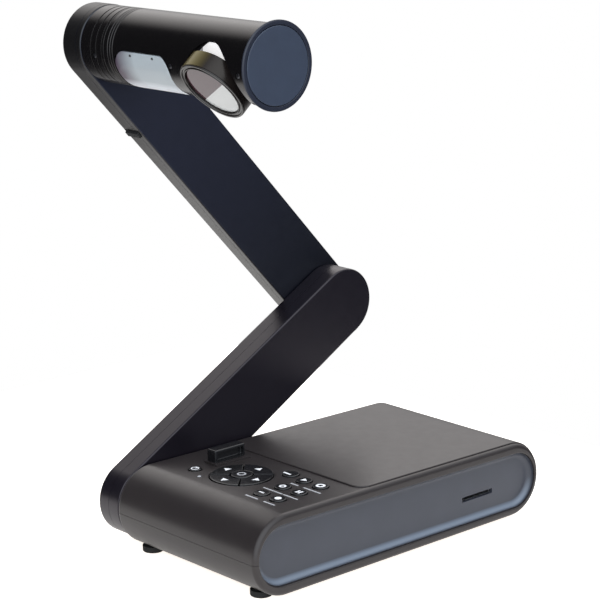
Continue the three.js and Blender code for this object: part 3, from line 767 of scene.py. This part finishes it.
def make_panel():
    """Recessed side panel with the card slot, its rim swept out to the recess wall."""
    depth = 3.6
    width = 4.2
    stations = [(PANEL_X[0], GAP), (PANEL_X[1] + depth, GAP)]
    for t in turn(0, 90, 14):
        stations.append((PANEL_X[1] + depth * (1 - math.sin(t)), GAP + 0.2 + width * (1 - math.cos(t))))
    panel = plank("panel", RECESS_FRONT, RECESS_REAR, stations, BASE_PLACE, 48)
    slot = block("slot", (PANEL_X[0] - 1, PANEL_X[1] + 1), *CARD_SLOT, BASE_PLACE, 0.6)
    combine(panel, "DIFFERENCE", slot)
    dress(panel, "base", "panel", "side_panel")


def make_rest():
    """Raised rest block beside the arm, with a pocket in its near side."""
    body = block("rest", (20.5, 29), (55, 80), (51.0, 61), BASE_PLACE, 0.9)
    pocket = block("pocket", (26.2, 31), (57, 78.5), (53.6, 59.4), BASE_PLACE, 0.8)
    combine(body, "DIFFERENCE", pocket)
    dress(body, "base", "key", "rest_block")
    outline = [(19, 53.5), (32, 53.5), (32, 81.5), (19, 81.5)]
    flange = prism("rest_foot", outline, 0.05, 1.3, BASE_PLACE, top_height)
    dress(flange, "base", "housing")


def make_feet():
    """Four round rubber feet."""
    profile = [(0, -3), (FOOT_RADIUS, -3, 0.9), (FOOT_RADIUS, 1.0), (0, 1.0)]
    for row, y in enumerate(FOOT_Y):
        for column, x in enumerate(FOOT_X):
            name = f"foot_{row * 2 + column + 1}"
            foot = lathe(f"{name}_pad", profile, BASE_PLACE, sides=MEDIUM, at=(x, y, 0))
            dress(foot, "base", "rubber", name)


# Keys and their marks.
def triangle(x, y, size, angle):
    """Outline of an arrow head that points in a direction."""
    points = []
    for step in (0, 120, 240):
        t = math.radians(angle + step)
        points.append((x + size * math.cos(t), y + size * math.sin(t)))
    return points


def bar(x, y, width, height):
    """Outline of a rectangle round a point."""
    return [(x - width / 2, y - height / 2), (x + width / 2, y - height / 2),
            (x + width / 2, y + height / 2), (x - width / 2, y + height / 2)]


def ring_mark(x, y, top, outer, inner):
    high = top + MARK_DEPTH
    profile = [(inner, top), (outer, top), (outer, high), (inner, high)]
    return lathe("mark", profile, BASE_PLACE, sides=MEDIUM, at=(x, y, 0))


def flat_mark(outline, top):
    return prism("mark", outline, top, top + MARK_DEPTH, BASE_PLACE)


def key_mark(name, x, y, top):
    """A plain symbol for each key."""
    rings = {
        "power_button": (2.7, 2.0),
        "function_key_2": (2.4, 1.2),
        "function_key_4": (2.3, 0.0001),
        "function_key_6": (3.1, 1.5),
    }
    outlines = {
        "power_button": [bar(x, y + 0.9, 0.7, 1.6)],
        "menu_button": [bar(x - 1.6, y - 1.6, 6.6, 1.5)],
        "function_key_1": [bar(x, y, 4.6, 1.2)],
        "function_key_3": [triangle(x, y, 2.6, 0)],
        "function_key_5": [bar(x - 1.2, y, 1.4, 4.2), bar(x + 1.2, y, 1.4, 4.2)],
    }
    marks = [ring_mark(x, y, top, *rings[name])] if name in rings else []
    marks += [flat_mark(outline, top) for outline in outlines.get(name, [])]
    return gathered(f"{name}_mark", marks)


def make_round_keys():
    """The round keys, each with a flange at its foot."""
    for name, x, y, radius in ROUND_KEYS:
        top = top_height(x, y) + KEY_RISE
        flange = KEY_FOOT + 1.2
        profile = [(0, KEY_FOOT), (radius + 1, KEY_FOOT), (radius + 1, flange), (radius, flange),
                   (radius, top, 0.6), (0, top)]
        cap = lathe(f"{name}_cap", profile, BASE_PLACE, sides=MEDIUM, at=(x, y, 0))
        dress(cap, name, "key", name)
        dress(key_mark(name, x, y, top), name, "mark")


def make_pad_keys():
    """Four ring-shaped direction keys, and the enter key in their middle."""
    top = top_height(*PAD) + KEY_RISE
    sides = {"right": 0, "up": 90, "left": 180, "down": 270}
    inner, outer = PAD_RING
    spread = 45 - 1.7
    for side, angle in sides.items():
        rings = []
        for inset, height in ((0, KEY_FOOT), (0, top - 0.6), (0.18, top - 0.18), (0.6, top)):
            inner_turn = turn(angle + spread - inset * 3, angle - spread + inset * 3, 16)
            outer_turn = turn(angle - spread + inset, angle + spread - inset, 24)
            ring = [(outer - inset, t) for t in outer_turn] + [(inner + inset, t) for t in inner_turn]
            rings.append([(PAD[0] + r * math.cos(t), PAD[1] + r * math.sin(t), height) for r, t in ring])
        name = f"pad_{side}_button"
        dress(loft(f"{name}_cap", rings, BASE_PLACE), name, "key", name)
        t = math.radians(angle)
        x, y = PAD[0] + PAD_ARROW * math.cos(t), PAD[1] + PAD_ARROW * math.sin(t)
        dress(gathered(f"{name}_mark", [flat_mark(triangle(x, y, 2.9, angle), top)]), name, "mark")
    top += ENTER_RISE
    profile = [(0, KEY_FOOT), (ENTER_RADIUS, KEY_FOOT), (ENTER_RADIUS, top, 0.7), (0, top)]
    cap = lathe("enter_button_cap", profile, BASE_PLACE, sides=MEDIUM, at=(*PAD, 0))
    dress(cap, "enter_button", "key", "enter_button")
    dress(gathered("enter_button_mark", [ring_mark(*PAD, top, 3.0, 1.9)]), "enter_button", "label")


def make_labels():
    """Plain dashes printed in front of the function keys, and the indicator lamp."""
    widths = ((11.5, 17.5, 7.0), (10.2, 13.3, 15.8))
    dashes = []
    for x, row in zip(LABEL_ROWS, widths):
        for y, width in zip(KEY_COLUMNS, row):
            dash = bar(x, y - LABEL_AHEAD, width, 1.3)
            dashes.append(prism("dash", dash, 0.01, 0.07, BASE_PLACE, top_height))
    dress(gathered("key_labels", dashes), "base", "label")
    x, y, radius = LAMP
    top = top_height(x, y)
    lamp = lathe("indicator_lamp", [(0, 45.6), (radius, 45.6), (radius, top + 0.1, 0.5), (0, top + 0.25)],
                 BASE_PLACE, sides=SMALL, at=(x, y, 0))
    dress(lamp, "base", "label", "status_light")


# Arms.
def arm_solids(name, radii, length, far, near, place):
    """An arm as a plank with rounded edges, and the room inside it."""
    front = (0, 0, radii[0])
    rear = (length, 0, radii[1])
    outer = plank(name, front, rear, round_over(far, near, ARM_EDGE, 5), place, 48)
    inner = plank("hollow", front, rear, [(far + WALL, WALL), (near - WALL, WALL)], place, 24)
    return outer, inner


def halves(shell, names, split, place):
    """Cuts an arm at its parting plane with a fine seam."""
    past_y = (-60, 320)
    past_z = (-50, 50)
    far_half = copy_of(shell, names[0])
    shell.name = names[1]
    combine(far_half, "INTERSECT", block("far", (-80, split - SEAM), past_y, past_z, place))
    combine(shell, "INTERSECT", block("near", (split + SEAM, 20), past_y, past_z, place))
    return far_half, shell


def make_lower_arm():
    """Lower arm in two halves, with the rubber stop at its elbow end."""
    far = local_box("lower_arm_shell")[0]
    near = local_box("lower_arm_cover")[1]
    end = LOWER_LENGTH
    shell, inner = arm_solids("lower", LOWER_ENDS, end, far, near, LOWER_PLACE)
    hinge_hole = lathe("hole", disc(HINGE_BORE, near - 4, 0), LOWER_PLACE, "X", MEDIUM)
    elbow_hole = lathe("hole", disc(ELBOW_BORE, far - 2, far + 4), LOWER_PLACE, "X", MEDIUM, (0, end, 0))
    pocket = block("pocket", (-14.3, -7.7), (end - 2.8, end + 2.8), (-30, -22.3), LOWER_PLACE)
    combine(shell, "DIFFERENCE", inner, hinge_hole, elbow_hole, pocket)
    names = ("lower_arm_far_half", "lower_arm_near_half")
    far_half, near_half = halves(shell, names, LOWER_SPLIT, LOWER_PLACE)
    dress(far_half, "lower_arm", "arm_lower", "lower_arm_shell")
    dress(near_half, "lower_arm", "arm_lower", "lower_arm_cover")
    stop = block("lower_arm_stop", (-14, -8), (end - 2.5, end + 2.5), (-25.6, -22.6), LOWER_PLACE, 0.6)
    dress(stop, "lower_arm", "rubber", "lower_arm_bumper")


def deepened(part):
    """Moves the far side of the upper arm outwards, more and more towards the head."""
    back = UPPER_PLACE.inverted()
    for vertex in part.data.vertices:
        point = back @ vertex.co
        if point.x < UPPER_SPLIT:
            point.x -= UPPER_THICKENING * min(1.0, max(0.0, point.y / UPPER_LENGTH))
            vertex.co = UPPER_PLACE @ point


def make_upper_arm():
    """Upper arm in two halves, thicker towards the head, with the rubber stub on its upper edge."""
    near = local_box("upper_arm_cover")[1]
    far = UPPER_FAR
    end = UPPER_LENGTH
    shell, inner = arm_solids("upper", UPPER_ENDS, end, far, near, UPPER_PLACE)
    deepened(shell)
    deepened(inner)
    elbow_hole = lathe("hole", disc(ELBOW_BORE, near - 4, near + 2), UPPER_PLACE, "X", MEDIUM)
    head_hole = lathe("hole", disc(SWIVEL_BORE, near - 4, near + 2), UPPER_PLACE, "X", MEDIUM, (0, end, 0))
    pocket = block("pocket", (far - 1.9, near - 2.2), (STUB_Y - 2.8, STUB_Y + 2.8), (23.1, 30), UPPER_PLACE)
    combine(shell, "DIFFERENCE", inner, elbow_hole, head_hole, pocket)
    names = ("upper_arm_far_half", "upper_arm_near_half")
    far_half, near_half = halves(shell, names, UPPER_SPLIT, UPPER_PLACE)
    dress(far_half, "upper_arm", "arm", "upper_arm_shell")
    dress(near_half, "upper_arm", "arm", "upper_arm_cover")
    bumper = block("upper_arm_stub", (far - 0.6, near - 2.5), (STUB_Y - 2.1, STUB_Y + 2.1), (23.4, 26.2),
                   UPPER_PLACE, 0.6)
    dress(bumper, "upper_arm", "rubber", "upper_arm_bumper")


# Head.
def screw_cutter(x):
    return lathe("hole", disc(SCREW_RADIUS + 0.2, 18, 26), SCREW_PLACE, "Y", SMALL, (x, 0, 0))


def screw(name, x, body, node):
    """A small countersunk screw with a cross recess."""
    profile = [(0, 21.6), (SCREW_RADIUS, 21.6), (SCREW_RADIUS, 23.7, 0.3), (0, 23.9)]
    head = lathe(name, profile, SCREW_PLACE, "Y", SMALL, (x, 0, 0))
    for wide, long in ((0.45, 1.9), (1.9, 0.45)):
        slot = block("slot", (x - wide / 2, x + wide / 2), (23.2, 25), (-long / 2, long / 2), SCREW_PLACE)
        combine(head, "DIFFERENCE", slot)
    dress(head, body, "screw", node)


def lens_facing(x):
    """Place of a piece on the head that is drawn looking up +Z."""
    return HEAD_PLACE @ Matrix.Translation((x, 0, 0)) @ Matrix.Rotation(LENS_ANGLE - math.pi / 2, 4, "X")


def rounded_rectangle(half_x, half_y, corner, steps=10):
    """Outline (x, y) of a rectangle with rounded corners round Z."""
    outline = []
    for sx, sy, start in ((1, 1, 0), (-1, 1, 90), (-1, -1, 180), (1, -1, 270)):
        cx, cy = sx * (half_x - corner), sy * (half_y - corner)
        for t in turn(start, start + 90, steps):
            outline.append((cx + corner * math.cos(t), cy + corner * math.sin(t)))
    return outline


def make_collar():
    """Fixed collar between the arm and the head, with three grooves round it."""
    low, high = local_box("head_collar")
    floor = HEAD_RADIUS - 0.5
    grooves = []
    for x in COLLAR_GROOVES:
        grooves += [(HEAD_RADIUS, x - 0.5, 0.15), (floor, x - 0.5)]
        grooves += [(floor, x + 0.5), (HEAD_RADIUS, x + 0.5, 0.15)]
    profile = [(HEAD_BORE, low), (HEAD_RADIUS, low, 0.3), *grooves, (HEAD_RADIUS, high, 0.3),
               (SWIVEL_BORE, high), (SWIVEL_BORE, high - 3), (HEAD_BORE, high - 3)]
    collar = lathe("collar", profile, HEAD_PLACE, "X")
    combine(collar, "DIFFERENCE", screw_cutter(COLLAR_SCREW))
    dress(collar, "upper_arm", "head", "head_collar")
    screw("collar_screw_head", COLLAR_SCREW, "upper_arm", "collar_screw")


def make_tube():
    """Head tube with small ribs at its swivel end, and openings for the light and the lens."""
    low, high = local_box("head_tube")
    floor = HEAD_RADIUS - 0.3
    ribs = []
    for x in TUBE_RIBS:
        ribs += [(HEAD_RADIUS, x, 0.2), (floor, x + 0.3), (floor, x + 0.8), (HEAD_RADIUS, x + 1.1, 0.2)]
    profile = [(SWIVEL_BORE, low), (HEAD_RADIUS, low, 0.3), *ribs, (HEAD_RADIUS, high, 0.2),
               (HEAD_BORE, high), (HEAD_BORE, low + 2.5), (SWIVEL_BORE, low + 2.5)]
    tube = lathe("tube", profile, HEAD_PLACE, "X")
    outline = rounded_rectangle((WINDOW_X[1] - WINDOW_X[0]) / 2, WINDOW_HALF, WINDOW_CORNER)
    light_opening = prism("opening", outline, 8, 33, lens_facing(WINDOW_MIDDLE))
    outline = rounded_rectangle(*OPENING_HALF, OPENING_HALF[1] - 0.02, 24)
    lens_opening = prism("opening", outline, 0, 33, lens_facing(OPENING_X))
    combine(tube, "DIFFERENCE", light_opening, lens_opening, *[screw_cutter(x) for x in HEAD_SCREWS])
    dress(tube, "head", "head", "head_tube")
    for number, x in enumerate(HEAD_SCREWS, 1):
        screw(f"head_screw_head_{number}", x, "head", f"head_screw_{number}")


def make_shroud():
    """Black lip that fills the far side of the lens opening, under the edge of the lens unit."""
    low, high = 6.3, LENS_BACK - 0.4
    lip = lathe("lens_shroud", disc(OPENING_HALF[1] - 0.3, low, high), lens_facing(LENS_X))
    inside = lathe("inside", disc(OPENING_HALF[1], 0, 30), lens_facing(2 * OPENING_X - LENS_X))
    skin = lathe("skin", disc(HEAD_RADIUS - 0.7, 60, 130), HEAD_PLACE, "X")
    combine(lip, "DIFFERENCE", inside)
    combine(lip, "INTERSECT", skin)
    dress(lip, "head", "head")


def window_surface(x, s, height):
    """A point above the tube's round skin. x runs across the tube, s along it."""
    rise = math.sqrt(HEAD_RADIUS ** 2 - x ** 2)
    scale = (HEAD_RADIUS + height) / HEAD_RADIUS
    return (s, x * scale, rise * scale)


def make_window():
    """Frosted window that follows the tube's round skin, and its two clips."""
    place = lens_facing(WINDOW_MIDDLE)
    window = pad("window", window_surface, WINDOW_HALF - 0.3, 26.2, WINDOW_CORNER - 0.3, 0.0, -1.8, 0.8,
                 place, rows=24)
    dress(window, "head", "window", "light_window")
    clips = []
    profile = [(0, -1.2), (1.0, -1.2), (1.0, 0.1, 0.1), (0, 0.1)]
    for x in CLIP_X:
        spot = (x - WINDOW_MIDDLE, CLIP_Y, math.sqrt(HEAD_RADIUS ** 2 - CLIP_Y ** 2))
        clips.append(lathe("clip", profile, place, sides=SMALL, at=spot))
    dress(gathered("window_clips", clips), "head", "socket")


def make_cap():
    """A thin disc that stands proud of the tube, with a flared rim."""
    low, high = local_box("end_cap_ring")
    disc_high = local_box("end_cap_disc")[1]
    inner = CAP_DISC_RADIUS + 0.35
    rim = [(inner, low), (HEAD_RADIUS + 0.6, low),
           (CAP_RADIUS, high - 1.2, 0.3), (CAP_RADIUS, high - 0.3, 0.3),
           (CAP_RADIUS - 0.9, high, 0.4), (inner, high, 0.35)]
    dress(lathe("cap_rim", rim, HEAD_PLACE, "X"), "head", "cap_rim", "end_cap_ring")
    face = [(0, low), (CAP_DISC_RADIUS, low), (CAP_DISC_RADIUS, disc_high, 0.45), (0, disc_high)]
    dress(lathe("cap_face", face, HEAD_PLACE, "X"), "head", "cap", "end_cap_disc")


# Lens unit.
def make_lens():
    """Barrel on its stem, the ring round its front, and the front glass."""
    front = LENS_FRONT
    back = LENS_BACK
    bore = 20.6
    skirt = 20.3
    opening = 18.7
    barrel = [(0, 0.6), (STEM_RADIUS, 0.6), (STEM_RADIUS, back), (LENS_RADIUS, back, 0.5),
              (LENS_RADIUS, front - 1.1), (bore, front - 1.1), (bore, back + 2), (0, back + 2)]
    dress(lathe("barrel", barrel, LENS_PLACE), "lens_unit", "lens_ring", "lens_barrel")
    outer = LENS_RADIUS - 0.2
    bezel = [(opening, 18), (skirt, 18), (skirt, front - 0.8), (outer, front - 0.8), (outer, front, 0.4),
             (21.0, front, 0.3), (20.6, front - 0.7), (19.7, front - 0.7), (19.3, front, 0.2),
             (opening, front, 0.3)]
    dress(lathe("bezel", bezel, LENS_PLACE), "lens_unit", "bezel", "lens_bezel")
    glass = [(0, front - 2.8), (18.4, front - 2.8), (18.4, front - 1.3, 0.3), (0, front - 1.3)]
    dress(lathe("front_glass", glass, LENS_PLACE), "lens_unit", "cover_glass", "lens_glass")


def dress_frame():
    """Finishes for the CAD nodes that still show."""
    looks = {
        "card_socket": "steel", "socket_plate": "socket", "video_socket": "steel", "usb_socket": "steel",
        "power_socket": "socket", "keypad_board": "board", "main_board": "board", "hinge_axle": "steel",
        "hinge_washer": "steel", "hinge_nut": "steel", "elbow_axle": "steel", "elbow_nut": "steel",
        "head_axle": "steel", "head_nut": "steel", "light_board": "white", "lens_seat": "seat",
        "sensor_board": "board", "lens_cell": "head", "lens_element": "glass", "lens_retainer": "steel",
    }
    for node, look in looks.items():
        part = frame["nodes"][node]
        part.data.materials.clear()
        part.data.materials.append(LOOKS[look].material)


# Stage. Soft lights are (direction, cosines where it starts and where it is full, strength, colour).
AMBIENT = (0.045, 0.045, 0.055)
GLOWS = (
    ((-0.50, 0.44, 0.75), 0.72, 0.97, 1.33, (1.0, 0.97, 0.95)),
    ((-0.75, 0.66, 0.05), 0.45, 0.95, 0.5, (1.0, 0.98, 0.97)),
    ((0.74, -0.42, 0.50), 0.20, 0.95, 2.3, (0.86, 0.93, 1.0)),
    ((0.12, 0.64, 0.76), 0.84, 0.98, 1.3, (0.97, 0.98, 1.0)),
)
FLOOR_X = (-0.41, 0.22)
FLOOR_Y = (-0.7, 0.26)
CAMERA_ANGLES = (48.74, 14.07, -1.22)          # yaw, pitch and roll in degrees
CAMERA_STAND = (1.04932, -0.76508, 0.48755)    # metres from the base frame's zero
CAMERA_LENS = 128.48
CAMERA_SENSOR = 36


def make_floor():
    """A plain pale table top, which the camera sees as nearly white."""
    plain = Look("pale_floor", None)
    plain.set(Base_Color=(0.8, 0.79, 0.77, 1), Roughness=0.9, Specular_IOR_Level=0.1)
    plain.set(Emission_Color=(1, 0.925, 0.85, 1))
    seen = plain.node("ShaderNodeLightPath").outputs["Is Camera Ray"]
    plain.link(plain.spread(seen, 0.46, 1.0, 0.0, 1.0), plain.shader.inputs["Emission Strength"])
    (x0, x1), (y0, y1) = FLOOR_X, FLOOR_Y
    corners = [(x0, y0, 0), (x1, y0, 0), (x1, y1, 0), (x0, y1, 0)]
    floor = shape("floor", corners, [(0, 1, 2, 3)], Matrix.Identity(4))
    floor.data.materials.append(plain.material)


def make_camera():
    yaw, pitch, roll = (math.radians(angle) for angle in CAMERA_ANGLES)
    forward = Vector((-math.sin(yaw) * math.cos(pitch), math.cos(yaw) * math.cos(pitch), -math.sin(pitch)))
    level = Vector((math.cos(yaw), math.sin(yaw), 0))
    rise = level.cross(forward)
    right = math.cos(roll) * level + math.sin(roll) * rise
    upward = -math.sin(roll) * level + math.cos(roll) * rise
    camera = added("camera", bpy.data.cameras.new("camera"))
    camera.data.lens = CAMERA_LENS
    camera.data.sensor_width = CAMERA_SENSOR
    camera.data.clip_end = 50
    zero = (ZERO_X, housing_low.y, housing_low.z)
    stand = [start + way for start, way in zip(zero, CAMERA_STAND)]
    camera.matrix_world = Matrix.Translation(stand) @ Matrix((right, upward, -forward)).transposed().to_4x4()
    bpy.context.scene.camera = camera


def glow(sky, coordinates, way, start, end, strength, colour):
    """Colour of a soft light round one direction of the sky."""
    toward = sky.dot(coordinates, Vector(way).normalized())
    return sky.scaled(colour, sky.spread(toward, 0.0, strength, start, end, "SMOOTHSTEP"))


def make_light():
    """A white studio: soft lights above, a pale backdrop and a wide bluish light from the front."""
    world = bpy.data.worlds.new("studio")
    bpy.context.scene.world = world
    world.use_nodes = True
    sky = Graph(world.node_tree)
    coordinates = sky.node("ShaderNodeTexCoord").outputs["Generated"]
    light = AMBIENT
    for settings in GLOWS:
        total = sky.node("ShaderNodeVectorMath", operation="ADD")
        sky.link(glow(sky, coordinates, *settings), total.inputs[0])
        sky.feed(light, total.inputs[1])
        light = total.outputs["Vector"]
    seen = sky.node("ShaderNodeLightPath").outputs["Is Camera Ray"]
    sky.link(sky.blend_colour(seen, light, (1, 1, 1)), sky.tree.nodes["Background"].inputs["Color"])
    bpy.context.scene.view_settings.view_transform = "Standard"


make_camera()
make_light()
make_floor()
make_housing()
make_panel()
make_rest()
make_feet()
make_round_keys()
make_pad_keys()
make_labels()
make_lower_arm()
make_upper_arm()
make_collar()
make_tube()
make_shroud()
make_window()
make_cap()
make_lens()
dress_frame()
